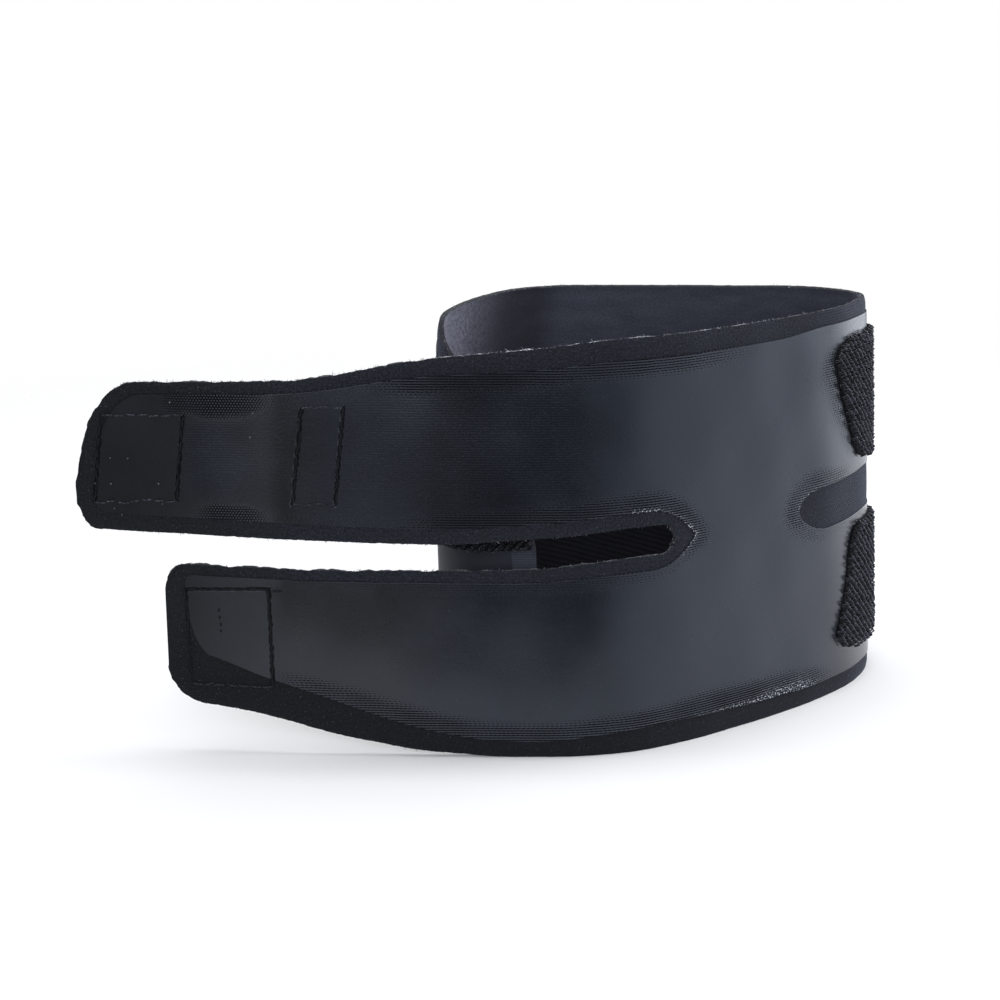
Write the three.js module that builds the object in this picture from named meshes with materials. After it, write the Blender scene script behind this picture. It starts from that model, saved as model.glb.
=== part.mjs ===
// A wrist brace stood on its lower edge: one cut of stretch knit, bent into a loop, that ends in two straps.
// A thin satin film covers its outside, two strips of loop pile run round the back, and a hook tab is sewn
// behind each strap end. Millimetres, +Z up, +X along the front from the straps to the loop, -Y to the front.
import * as THREE from 'three';
import { mergeVertices } from 'three/addons/utils/BufferGeometryUtils.js';

// Layers, through the thickness
const KNIT_WALL = 1.0;
const FILM_WALL = 0.4;
const PILE_WALL = 1.0;
const HOOK_WALL = 1.2;
const LAYER_GAP = 0.2;

// Places along the band are distances from the tip of the upper strap; heights are above the lower edge.
const BAND_WIDTH = 75;
const LOWER_STRAP_TIP = 14.8;
const SLIT_ROOT = 105.5;

// The band's way seen from above, from the strap tips round to the far end. Turns are leftward, in degrees.
const FIRST_HEADING = -5;
const WAY = [
  { stretch: 'straps', length: 82, turn: 5 },
  { stretch: 'front', length: 26, turn: 30 },
  { stretch: 'front right', length: 33, turn: 10 },
  { stretch: 'right side', length: 17, turn: 22 },
  { stretch: 'right corner', length: 12, turn: 81 },
  { stretch: 'back corner', length: 14, turn: 36 },
  { stretch: 'back', length: 41, turn: 4 },
  { stretch: 'left corner', length: 17, turn: 48 },
  { stretch: 'left side', length: 28, turn: 34 },
  { stretch: 'curl', length: 15, turn: 87 },
  { stretch: 'far end', length: 9, turn: 4 },
];
const BEND_EASE = 3;
const WAY_STEP = 0.25;
const FAR_END = WAY.reduce((sum, row) => sum + row.length, 0);

// How far the lower edge stands out beyond the upper one.
const FLARE = [
  { at: 0, out: 3.5 },
  { at: 60, out: 4.4 },
  { at: 165, out: 4.8 },
  { at: 190, out: 4 },
  { at: 225, out: 1.5 },
  { at: 255, out: 0 },
  { at: FAR_END, out: 0 },
];

// Long edges of the knit: it narrows towards the strap tips.
const UPPER_EDGE = [
  { at: 0, height: 67.2 },
  { at: 22, height: 67.6 },
  { at: 36, height: 67.9 },
  { at: 61, height: 71.8 },
  { at: 78, height: 73.4 },
  { at: 97, height: BAND_WIDTH },
  { at: FAR_END, height: BAND_WIDTH },
];
const LOWER_EDGE = [
  { at: LOWER_STRAP_TIP, height: 10.2 },
  { at: 28, height: 8.3 },
  { at: 49, height: 3.1 },
  { at: 63, height: 0.9 },
  { at: 80, height: 0 },
  { at: FAR_END, height: 0 },
];

// The slit between the straps, and beyond its root the line that the film's window is centred on, which runs
// down to the tip of the far end.
const SLIT = [
  { at: 0, middle: 38.6, half: 2.8 },
  { at: 21, middle: 37.8, half: 2.8 },
  { at: 42, middle: 37.1, half: 2.75 },
  { at: 63, middle: 36.9, half: 2.45 },
  { at: 80, middle: 37.6, half: 2.8 },
  { at: 99, middle: 38.9, half: 2.8 },
  { at: 134, middle: 38.6, half: 2.8 },
  { at: 142, middle: 38.05, half: 2.8 },
  { at: 150, middle: 38.25, half: 2.8 },
  { at: 157, middle: 38.8, half: 2.8 },
  { at: 178, middle: 38.8, half: 2.8 },
  { at: FAR_END, middle: 25.5, half: 2.8 },
];

// Rounded corners of the knit and the film, as reach along the band and across it.
const KNIT_CORNER = {
  upperTipTop: { along: 11, across: 20 },
  upperTipFoot: { along: 3, across: 5.5 },
  lowerTipTop: { along: 3.4, across: 5.2 },
  lowerTipFoot: { along: 6.5, across: 6 },
  farTop: { along: 30, across: 48 },
  farFoot: { along: 20, across: 24 },
};
const FILM_CORNER = {
  upperTipTop: { along: 9, across: 17 },
  upperTipFoot: { along: 2.5, across: 2.5 },
  lowerTipTop: { along: 1.2, across: 1.6 },
  lowerTipFoot: { along: 4.2, across: 11.5 },
  farTop: { along: 28, across: 45 },
  farFoot: { along: 18, across: 20 },
};

// The film stops short of every cut edge, most of all along the foot of the lower strap.
const FILM_TIP_MARGIN = { upper: 2.9, lower: 3.6, far: 4.2 };
const FILM_TOP_MARGIN = [
  { at: 0, margin: 2.1 },
  { at: 36, margin: 2.1 },
  { at: 50, margin: 2.4 },
  { at: 62, margin: 2.9 },
  { at: 72, margin: 3.3 },
  { at: 92, margin: 3.6 },
  { at: 128, margin: 3.6 },
  { at: 143, margin: 2.7 },
  { at: FAR_END, margin: 2.7 },
];
const FILM_SLIT_MARGIN = [
  { at: 0, above: 3.2, below: 1.7 },
  { at: 35, above: 3.1, below: 1.75 },
  { at: 61, above: 2.8, below: 1.95 },
  { at: 80, above: 2.7, below: 2.2 },
  { at: 100, above: 2.7, below: 2.5 },
  { at: FAR_END, above: 2.7, below: 2.5 },
];
const FILM_FOOT = [
  { at: 18, height: 19.8 },
  { at: 23, height: 18.3 },
  { at: 33, height: 14.4 },
  { at: 43.5, height: 10.9 },
  { at: 54, height: 7.2 },
  { at: 65, height: 4.4 },
  { at: 72, height: 3.4 },
  { at: 80, height: 3.1 },
  { at: 92, height: 4 },
  { at: 102, height: 4.6 },
  { at: 126, height: 3.9 },
  { at: 142, height: 3.5 },
  { at: FAR_END, height: 3.5 },
];
const FILM_SLIT_END = { reach: 4.2, along: 9, sharpness: 0.95 };
const FILM_WINDOW = { from: 134.8, to: 177, half: 4.2, rounding: 8.5 };

// Loop pile, as heights of each strip's lower and upper edge. The edges that face each other slant in from
// the near corners, and both strips come down towards the far end.
const PILE_END_MARGIN = 1;
const PILE_EDGE_MARGIN = 2.5;
const PILE_UPPER = [
  { at: 145, low: 63.7, high: 66.3 },
  { at: 146.2, low: 60.5, high: 68.2 },
  { at: 147.6, low: 56.5, high: 68.8 },
  { at: 149.7, low: 51.8, high: 69.3 },
  { at: 151.6, low: 47.5, high: 69.3 },
  { at: 153.6, low: 45.3, high: 69.3 },
  { at: 157, low: 44.5, high: 69.3 },
  { at: 180, low: 43.8, high: 69 },
  { at: 270, low: 34, high: 59.5 },
  { at: FAR_END, low: 35.4, high: 60.5 },
];
const PILE_LOWER = [
  { at: 145.8, low: 10.8, high: 13.2 },
  { at: 146.6, low: 9.6, high: 15.6 },
  { at: 147.5, low: 8.6, high: 19.4 },
  { at: 148.8, low: 7.9, high: 24.2 },
  { at: 149.6, low: 7.7, high: 28 },
  { at: 152, low: 7.6, high: 32.2 },
  { at: 157, low: 7.6, high: 32.8 },
  { at: 180, low: 7.2, high: 31.6 },
  { at: 255, low: 2.5, high: 25.2 },
  { at: FAR_END, low: 2.5, high: 24.8 },
];

// Hook tabs, inside the strap ends.
const HOOK_UPPER = { from: 4.6, to: 47, foot: 46.4, top: 62.4 };
const HOOK_LOWER = { from: 18.5, to: 33.4, foot: 13.2, top: 30.8 };
const HOOK_CORNER = { along: 1, across: 1 };

// Facets
const LONG_FACET = 5;
const BEND_FACET = 1.6;
const CORNER_FACETS = 7;
const KNIT_ROWS = 3;
const SKIN_ROWS = 2;
const NEAREST_STATIONS = 0.08;
const WELD = 1e-4;

const MATERIALS = {
  knit: new THREE.MeshStandardMaterial({ color: 0x23252d, roughness: 0.95, metalness: 0 }),
  film: new THREE.MeshStandardMaterial({ color: 0x2b2f36, roughness: 0.38, metalness: 0 }),
  pile: new THREE.MeshStandardMaterial({ color: 0x1f2023, roughness: 0.95, metalness: 0 }),
  hook: new THREE.MeshStandardMaterial({ color: 0x17181a, roughness: 0.7, metalness: 0 }),
};

// A smooth function through a table's rows that never overshoots them: a cubic between each pair of rows,
// whose slope at a row is the harmonic mean of the slopes on its two sides, or level at a peak.
function curveThrough(rows, column) {
  const at = rows.map((row) => row.at);
  const value = rows.map((row) => row[column]);
  const last = rows.length - 1;
  const rise = at.slice(1).map((end, i) => (value[i + 1] - value[i]) / (end - at[i]));
  const slope = at.map((_, i) => {
    if (i === 0) return rise[0];
    if (i === last) return rise[last - 1];
    const [before, after] = [rise[i - 1], rise[i]];
    return before * after <= 0 ? 0 : (2 * before * after) / (before + after);
  });
  return (s) => {
    if (s <= at[0]) return value[0];
    if (s >= at[last]) return value[last];
    const i = at.findIndex((end) => end > s) - 1;
    const span = at[i + 1] - at[i];
    const t = (s - at[i]) / span;
    const near = value[i] * (1 + 2 * t) * (1 - t) ** 2 + slope[i] * span * t * (1 - t) ** 2;
    const far = value[i + 1] * t * t * (3 - 2 * t) + slope[i + 1] * span * t * t * (t - 1);
    return near + far;
  };
}

// The way as points and headings at even steps. Its curvature is averaged over BEND_EASE to either side,
// so the bends run into each other smoothly.
function walkTheWay() {
  const turnRates = [];
  for (const { length, turn } of WAY) {
    const steps = Math.round(length / WAY_STEP);
    for (let i = 0; i < steps; i += 1) turnRates.push(THREE.MathUtils.degToRad(turn) / length);
  }
  const reach = Math.round(BEND_EASE / WAY_STEP);
  const rateAt = (i) => turnRates[THREE.MathUtils.clamp(i, 0, turnRates.length - 1)];
  const points = [];
  let [x, y, heading] = [0, 0, THREE.MathUtils.degToRad(FIRST_HEADING)];
  for (let i = 0; i <= turnRates.length; i += 1) {
    points.push({ x, y, heading });
    let rate = 0;
    for (let k = -reach; k <= reach; k += 1) rate += rateAt(i + k) / (2 * reach + 1);
    const middle = heading + (rate * WAY_STEP) / 2;
    x += Math.cos(middle) * WAY_STEP;
    y += Math.sin(middle) * WAY_STEP;
    heading += rate * WAY_STEP;
  }
  return points;
}

const wayPoints = walkTheWay();
const flareAt = curveThrough(FLARE, 'out');

// The point of the brace at distance s along the band, height z, and out beyond the middle of the knit.
function bend(s, z, out) {
  const place = THREE.MathUtils.clamp(s / WAY_STEP, 0, wayPoints.length - 1);
  const i = Math.min(Math.floor(place), wayPoints.length - 2);
  const t = place - i;
  const [a, b] = [wayPoints[i], wayPoints[i + 1]];
  const heading = THREE.MathUtils.lerp(a.heading, b.heading, t);
  const outward = out + flareAt(s) * (0.5 - z / BAND_WIDTH);
  return [
    THREE.MathUtils.lerp(a.x, b.x, t) + Math.sin(heading) * outward,
    THREE.MathUtils.lerp(a.y, b.y, t) - Math.cos(heading) * outward,
    z,
  ];
}

// How far a rounded corner has drawn the edge in, at a distance from the end that it rounds.
function cornerDrop(distance, { along, across }) {
  if (distance >= along) return 0;
  const t = 1 - Math.max(distance, 0) / along;
  return across * (1 - Math.sqrt(1 - t * t));
}

// Rising distances from start to end: closer together in the bends and round each corner that is named.
function stationsBetween(start, end, corners = []) {
  const marks = [start, end];
  for (const { at, reach } of corners) {
    for (let k = 0; k <= CORNER_FACETS; k += 1) {
      marks.push(at + reach * (1 - Math.cos(((k / CORNER_FACETS) * Math.PI) / 2)));
    }
  }
  let rowStart = 0;
  for (const { length, turn } of WAY) {
    const radius = length / THREE.MathUtils.degToRad(Math.abs(turn));
    const facet = THREE.MathUtils.clamp(Math.sqrt(radius) / 2, BEND_FACET, LONG_FACET);
    const count = Math.ceil(length / facet);
    for (let k = 0; k < count; k += 1) marks.push(rowStart + (length * k) / count);
    rowStart += length;
  }
  const sorted = marks.filter((s) => s >= start && s <= end).sort((p, q) => p - q);
  const kept = sorted.filter((s, i) => i === 0 || s - sorted[i - 1] > NEAREST_STATIONS);
  kept[kept.length - 1] = end;
  return kept;
}

// A closed layer made of strips that run along the band. Each strip lies between its low and high edge, and
// where join says so, its low or high edge is shared with the next strip instead of having a wall.
function layer(strips, inner, outer, rows) {
  const position = [];
  const index = [];
  const quad = (a, b, c, d) => index.push(a, b, c, a, c, d);
  for (const { stations, low, high, join = {} } of strips) {
    const first = position.length / 3;
    for (const s of stations) {
      for (let row = 0; row <= rows; row += 1) {
        const z = THREE.MathUtils.lerp(low(s), high(s), row / rows);
        position.push(...bend(s, z, outer), ...bend(s, z, inner));
      }
    }
    const outside = (i, row) => first + (i * (rows + 1) + row) * 2;
    const inside = (i, row) => outside(i, row) + 1;
    const last = stations.length - 1;
    for (let i = 0; i < last; i += 1) {
      for (let row = 0; row < rows; row += 1) {
        quad(outside(i, row), outside(i + 1, row), outside(i + 1, row + 1), outside(i, row + 1));
        quad(inside(i, row), inside(i, row + 1), inside(i + 1, row + 1), inside(i + 1, row));
      }
      const middle = (stations[i] + stations[i + 1]) / 2;
      if (!join.high?.(middle)) {
        quad(outside(i, rows), outside(i + 1, rows), inside(i + 1, rows), inside(i, rows));
      }
      if (!join.low?.(middle)) {
        quad(outside(i, 0), inside(i, 0), inside(i + 1, 0), outside(i + 1, 0));
      }
    }
    for (let row = 0; row < rows; row += 1) {
      quad(outside(0, row), outside(0, row + 1), inside(0, row + 1), inside(0, row));
      quad(outside(last, row), inside(last, row), inside(last, row + 1), outside(last, row + 1));
    }
  }
  const geometry = new THREE.BufferGeometry();
  geometry.setAttribute('position', new THREE.Float32BufferAttribute(position, 3));
  geometry.setIndex(index);
  const welded = mergeVertices(geometry, WELD);
  welded.computeVertexNormals();
  return welded;
}

const upperEdge = curveThrough(UPPER_EDGE, 'height');
const lowerEdge = curveThrough(LOWER_EDGE, 'height');
const slitMiddle = curveThrough(SLIT, 'middle');
const slitHalf = curveThrough(SLIT, 'half');
const filmFoot = curveThrough(FILM_FOOT, 'height');
const filmTopMargin = curveThrough(FILM_TOP_MARGIN, 'margin');
const filmSlitMargin = {
  above: curveThrough(FILM_SLIT_MARGIN, 'above'),
  below: curveThrough(FILM_SLIT_MARGIN, 'below'),
};

// Half the height of the slit: it ends in a half circle at its root.
function slitGap(s) {
  const radius = slitHalf(SLIT_ROOT);
  const past = s - (SLIT_ROOT - radius);
  if (past <= 0) return slitHalf(s);
  return past >= radius ? 0 : Math.sqrt(radius * radius - past * past);
}

// How far the gap in the film reaches above or below the slit's middle: a margin round the slit that ends in
// a soft point, then the window.
const filmSlitEnd = SLIT_ROOT + FILM_SLIT_END.reach;
function filmGap(s, side) {
  const { from, to, half, rounding } = FILM_WINDOW;
  const fromEnd = Math.min(s - from, to - s);
  if (fromEnd > 0) return half - cornerDrop(fromEnd, { along: rounding, across: half });
  if (s >= filmSlitEnd) return 0;
  const t = Math.max(0, 1 - (filmSlitEnd - s) / FILM_SLIT_END.along);
  return (slitHalf(s) + filmSlitMargin[side](s)) * (1 - t * t) ** FILM_SLIT_END.sharpness;
}

// The knit's outline: upper and lower strip, one piece beyond the slit's root.
const knitTop = (s) => upperEdge(s)
  - cornerDrop(s, KNIT_CORNER.upperTipTop)
  - cornerDrop(FAR_END - s, KNIT_CORNER.farTop);
const knitFoot = (s) => lowerEdge(s)
  + cornerDrop(s - LOWER_STRAP_TIP, KNIT_CORNER.lowerTipFoot)
  + cornerDrop(FAR_END - s, KNIT_CORNER.farFoot);

function fabricWrap() {
  const root = { at: SLIT_ROOT, reach: -slitHalf(SLIT_ROOT) };
  const loop = stationsBetween(SLIT_ROOT, FAR_END, [
    { at: FAR_END, reach: -KNIT_CORNER.farTop.along },
    { at: FAR_END, reach: -KNIT_CORNER.farFoot.along }]);
  const upperStations = stationsBetween(0, SLIT_ROOT, [
    { at: 0, reach: KNIT_CORNER.upperTipTop.along },
    { at: 0, reach: KNIT_CORNER.upperTipFoot.along }, root]);
  const lowerStations = stationsBetween(LOWER_STRAP_TIP, SLIT_ROOT, [
    { at: LOWER_STRAP_TIP, reach: KNIT_CORNER.lowerTipFoot.along },
    { at: LOWER_STRAP_TIP, reach: KNIT_CORNER.lowerTipTop.along }, root]);
  const beyondRoot = (s) => s > SLIT_ROOT;
  const upper = {
    stations: [...upperStations, ...loop.slice(1)],
    low: (s) => slitMiddle(s) + slitGap(s) + cornerDrop(s, KNIT_CORNER.upperTipFoot),
    high: knitTop,
    join: { low: beyondRoot },
  };
  const lower = {
    stations: [...lowerStations, ...loop.slice(1)],
    low: knitFoot,
    high: (s) => slitMiddle(s) - slitGap(s) - cornerDrop(s - LOWER_STRAP_TIP, KNIT_CORNER.lowerTipTop),
    join: { high: beyondRoot },
  };
  return layer([upper, lower], -KNIT_WALL / 2, KNIT_WALL / 2, KNIT_ROWS);
}

const filmInner = KNIT_WALL / 2 + LAYER_GAP;
const filmOuter = filmInner + FILM_WALL;

function outerFilm() {
  const upperTip = FILM_TIP_MARGIN.upper;
  const lowerTip = LOWER_STRAP_TIP + FILM_TIP_MARGIN.lower;
  const farEnd = FAR_END - FILM_TIP_MARGIN.far;
  const { from, to, rounding } = FILM_WINDOW;
  const loop = stationsBetween(filmSlitEnd, farEnd, [
    { at: from, reach: rounding }, { at: to, reach: -rounding },
    { at: farEnd, reach: -FILM_CORNER.farTop.along }, { at: farEnd, reach: -FILM_CORNER.farFoot.along }]);
  const slitEnd = { at: filmSlitEnd, reach: -FILM_SLIT_END.along };
  const upperStations = stationsBetween(upperTip, filmSlitEnd, [
    { at: upperTip, reach: FILM_CORNER.upperTipTop.along },
    { at: upperTip, reach: FILM_CORNER.upperTipFoot.along }, slitEnd]);
  const lowerStations = stationsBetween(lowerTip, filmSlitEnd, [
    { at: lowerTip, reach: FILM_CORNER.lowerTipFoot.along },
    { at: lowerTip, reach: FILM_CORNER.lowerTipTop.along }, slitEnd]);
  const closed = (s) => filmGap(s, 'above') === 0;
  const upper = {
    stations: [...upperStations, ...loop.slice(1)],
    low: (s) => slitMiddle(s) + filmGap(s, 'above') + cornerDrop(s - upperTip, FILM_CORNER.upperTipFoot),
    high: (s) => upperEdge(s) - filmTopMargin(s) - cornerDrop(s - upperTip, FILM_CORNER.upperTipTop)
      - cornerDrop(farEnd - s, FILM_CORNER.farTop),
    join: { low: closed },
  };
  const lower = {
    stations: [...lowerStations, ...loop.slice(1)],
    low: (s) => filmFoot(s) + cornerDrop(s - lowerTip, FILM_CORNER.lowerTipFoot)
      + cornerDrop(farEnd - s, FILM_CORNER.farFoot),
    high: (s) => slitMiddle(s) - filmGap(s, 'below') - cornerDrop(s - lowerTip, FILM_CORNER.lowerTipTop),
    join: { high: closed },
  };
  return layer([upper, lower], filmInner, filmOuter, SKIN_ROWS);
}

// A strip of loop pile, kept in from the edges of the knit.
function loopPad(rows) {
  const lowEdge = curveThrough(rows, 'low');
  const highEdge = curveThrough(rows, 'high');
  const strip = {
    stations: stationsBetween(rows[0].at, FAR_END - PILE_END_MARGIN, [
      { at: FAR_END, reach: -KNIT_CORNER.farTop.along },
      { at: FAR_END, reach: -KNIT_CORNER.farFoot.along }]),
    low: (s) => Math.max(lowEdge(s), knitFoot(s) + PILE_EDGE_MARGIN),
    high: (s) => Math.min(highEdge(s), knitTop(s) - PILE_EDGE_MARGIN),
  };
  const inner = filmOuter + LAYER_GAP;
  return layer([strip], inner, inner + PILE_WALL, SKIN_ROWS);
}

function hookTab({ from, to, foot, top }) {
  const draw = (s) => cornerDrop(Math.min(s - from, to - s), HOOK_CORNER);
  const stations = stationsBetween(from, to, [
    { at: from, reach: HOOK_CORNER.along }, { at: to, reach: -HOOK_CORNER.along }]);
  const strip = { stations, low: (s) => foot + draw(s), high: (s) => top - draw(s) };
  const outer = -KNIT_WALL / 2 - LAYER_GAP;
  return layer([strip], outer - HOOK_WALL, outer, SKIN_ROWS);
}

const pieces = [
  { name: 'fabric_wrap', geometry: fabricWrap(), material: MATERIALS.knit },
  { name: 'outer_film', geometry: outerFilm(), material: MATERIALS.film },
  { name: 'loop_pad_upper', geometry: loopPad(PILE_UPPER), material: MATERIALS.pile },
  { name: 'loop_pad_lower', geometry: loopPad(PILE_LOWER), material: MATERIALS.pile },
  { name: 'hook_tab_upper', geometry: hookTab(HOOK_UPPER), material: MATERIALS.hook },
  { name: 'hook_tab_lower', geometry: hookTab(HOOK_LOWER), material: MATERIALS.hook },
];

const brace = new THREE.Group();
for (const { name, geometry, material } of pieces) {
  const mesh = new THREE.Mesh(geometry, material);
  mesh.name = name;
  brace.add(mesh);
}

// The origin is under the middle of the brace's box, on the surface that it stands on.
const middle = new THREE.Box3().setFromObject(brace).getCenter(new THREE.Vector3());
brace.position.set(-middle.x, -middle.y, 0);
brace.updateMatrixWorld(true);

export default brace;
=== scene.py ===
"""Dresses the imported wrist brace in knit, satin film, loop pile, hook tape, stitches and fuzz."""
import math

import bpy
import numpy as np
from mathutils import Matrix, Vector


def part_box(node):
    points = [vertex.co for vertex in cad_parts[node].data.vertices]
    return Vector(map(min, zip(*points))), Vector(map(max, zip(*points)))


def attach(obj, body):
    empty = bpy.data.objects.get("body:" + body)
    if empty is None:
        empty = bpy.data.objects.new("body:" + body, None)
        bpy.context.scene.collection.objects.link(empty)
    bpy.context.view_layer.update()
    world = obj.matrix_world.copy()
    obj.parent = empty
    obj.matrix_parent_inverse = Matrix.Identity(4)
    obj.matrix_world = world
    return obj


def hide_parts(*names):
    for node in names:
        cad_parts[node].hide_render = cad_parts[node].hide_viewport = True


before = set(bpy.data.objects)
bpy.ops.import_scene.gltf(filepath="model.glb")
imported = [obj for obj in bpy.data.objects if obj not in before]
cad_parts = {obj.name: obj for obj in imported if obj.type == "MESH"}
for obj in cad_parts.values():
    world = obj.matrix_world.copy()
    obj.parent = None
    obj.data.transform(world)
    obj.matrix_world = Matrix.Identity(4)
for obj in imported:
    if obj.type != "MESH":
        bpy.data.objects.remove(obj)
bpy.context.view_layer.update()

MM = 0.001
RANDOM = np.random.default_rng(20)


def curve_through(at, value):
    """A smooth function through measured rows: a cubic between each pair of rows, whose slope at a row is
    the harmonic mean of the slopes beside it, or level at a peak, so that it never overshoots."""
    at, value = np.asarray(at, float), np.asarray(value, float)
    rise = np.diff(value) / np.diff(at)
    before, after = rise[:-1], rise[1:]
    same_way = before * after > 0
    slope = np.where(same_way, 2 * before * after / np.where(same_way, before + after, 1), 0)
    slope = np.concatenate([rise[:1], slope, rise[-1:]])

    def curve(s):
        s = np.clip(s, at[0], at[-1])
        i = np.clip(np.searchsorted(at, s, "right") - 1, 0, len(at) - 2)
        span = at[i + 1] - at[i]
        t = (s - at[i]) / span
        near = value[i] * (1 + 2 * t) * (1 - t) ** 2 + slope[i] * span * t * (1 - t) ** 2
        far = value[i + 1] * t * t * (3 - 2 * t) + slope[i + 1] * span * t * t * (t - 1)
        return near + far

    return curve


# The flat cut, in mm: distances along the band from the upper strap's tip, heights above the lower edge
BAND_WIDTH = 75.0
LOWER_STRAP_TIP = 14.8
SLIT_ROOT = 105.5
WAY = {
    "length": [82, 26, 33, 17, 12, 14, 41, 17, 28, 15, 9],
    "turn": [5, 30, 10, 22, 81, 36, 4, 48, 34, 87, 4],
}
FIRST_HEADING = -5.0
BEND_EASE = 3.0
WAY_STEP = 0.25
FAR_END = float(sum(WAY["length"]))
flare_at = curve_through([0, 60, 165, 190, 225, 255, FAR_END], [3.5, 4.4, 4.8, 4, 1.5, 0, 0])
upper_edge = curve_through(
    [0, 22, 36, 61, 78, 97, FAR_END], [67.2, 67.6, 67.9, 71.8, 73.4, BAND_WIDTH, BAND_WIDTH])
lower_edge = curve_through([LOWER_STRAP_TIP, 28, 49, 63, 80, FAR_END], [10.2, 8.3, 3.1, 0.9, 0, 0])
slit_middle = curve_through(
    [0, 21, 42, 63, 80, 99, 134, 142, 150, 157, 178, FAR_END],
    [38.6, 37.8, 37.1, 36.9, 37.6, 38.9, 38.6, 38.05, 38.25, 38.8, 38.8, 25.5])
slit_half = curve_through([0, 21, 42, 63, 80, FAR_END], [2.8, 2.8, 2.75, 2.45, 2.8, 2.8])
# Rounded corners, as reach along the band and across it
KNIT_CORNER = {
    "upper_tip_top": (11, 20), "upper_tip_foot": (3, 5.5),
    "lower_tip_top": (3.4, 5.2), "lower_tip_foot": (6.5, 6),
    "far_top": (30, 48), "far_foot": (20, 24),
}
FILM_CORNER = {
    "upper_tip_top": (9, 17), "upper_tip_foot": (2.5, 2.5),
    "lower_tip_top": (1.2, 1.6), "lower_tip_foot": (4.2, 11.5),
    "far_top": (28, 45), "far_foot": (18, 20),
}
FILM_UPPER_TIP = 2.9
FILM_LOWER_TIP = LOWER_STRAP_TIP + 3.6
FILM_FAR_END = FAR_END - 4.2
film_top_margin = curve_through(
    [0, 36, 50, 62, 72, 92, 128, 143, FAR_END], [2.1, 2.1, 2.4, 2.9, 3.3, 3.6, 3.6, 2.7, 2.7])
film_margin_above = curve_through([0, 35, 61, 80, FAR_END], [3.2, 3.1, 2.8, 2.7, 2.7])
film_margin_below = curve_through([0, 35, 61, 80, 100, FAR_END], [1.7, 1.75, 1.95, 2.2, 2.5, 2.5])
film_foot_edge = curve_through(
    [18, 23, 33, 43.5, 54, 65, 72, 80, 92, 102, 126, 142, FAR_END],
    [19.8, 18.3, 14.4, 10.9, 7.2, 4.4, 3.4, 3.1, 4, 4.6, 3.9, 3.5, 3.5])
FILM_SLIT_END = {"reach": 4.2, "along": 9.0, "sharpness": 0.95}
FILM_WINDOW = {"from": 134.8, "to": 177.0, "half": 4.2, "rounding": 8.5}
PILE_END_MARGIN = 1.0
PILE_EDGE_MARGIN = 2.5
PILE_UPPER = {
    "at": [145, 146.2, 147.6, 149.7, 151.6, 153.6, 157, 180, 270, FAR_END],
    "low": [63.7, 60.5, 56.5, 51.8, 47.5, 45.3, 44.5, 43.8, 34, 35.4],
    "high": [66.3, 68.2, 68.8, 69.3, 69.3, 69.3, 69.3, 69, 59.5, 60.5],
}
PILE_LOWER = {
    "at": [145.8, 146.6, 147.5, 148.8, 149.6, 152, 157, 180, 255, FAR_END],
    "low": [10.8, 9.6, 8.6, 7.9, 7.7, 7.6, 7.6, 7.2, 2.5, 2.5],
    "high": [13.2, 15.6, 19.4, 24.2, 28, 32.2, 32.8, 31.6, 25.2, 24.8],
}
HOOK_UPPER = {"from": 4.6, "to": 47.0, "foot": 46.4, "top": 62.4}
HOOK_LOWER = {"from": 18.5, "to": 33.4, "foot": 13.2, "top": 30.8}
HOOK_CORNER = (1, 1)

# Layers, as distances outside the middle of the knit
KNIT_HALF = 0.5
FILM_FACE = 0.70
FILM_WALL = 0.19
PILE_TAPE = 1.15
PILE_TAPE_WALL = 0.43
HOOK_TAPE = -0.98
HOOK_TAPE_WALL = 0.46

# Sewn boxes on the strap ends: corners in order round the box, as distance along the band and height
SEWN_BOXES = [
    [(5.0, 61.8), (19.2, 61.8), (17.5, 46.8), (2.9, 46.2)],
    [(39.8, 63.5), (47.0, 63.8), (45.2, 46.5), (37.8, 46.5)],
    [(18.5, 30.8), (33.2, 31.0), (33.5, 12.8), (18.8, 13.2)],
]
# How dark each side of a box is sewn, in the same order: a high number paints shade into its stitch groove,
# a low number paints a pale highlight on its thread, where the light would catch it
SEWN_SHADE_AND_HIGHLIGHT = [[0.45, 1, 0.35, 0.95], [0.45, 1, 0.45, 1], [0.9, 1, 0.55, 0.85]]
LOOSE_STITCHES = [
    ((33.9, 30.75), (35.6, 30.7)), ((24.3, 27.3), (24.3, 26.7)), ((24.4, 26.0), (24.4, 25.3)),
    ((24.4, 24.6), (24.5, 24.0)), ((24.6, 23.4), (24.6, 22.9)),
]
STITCH_LENGTH = 1.85
STITCH_PITCH = 2.05
THREAD_RADIUS = 0.165

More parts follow.
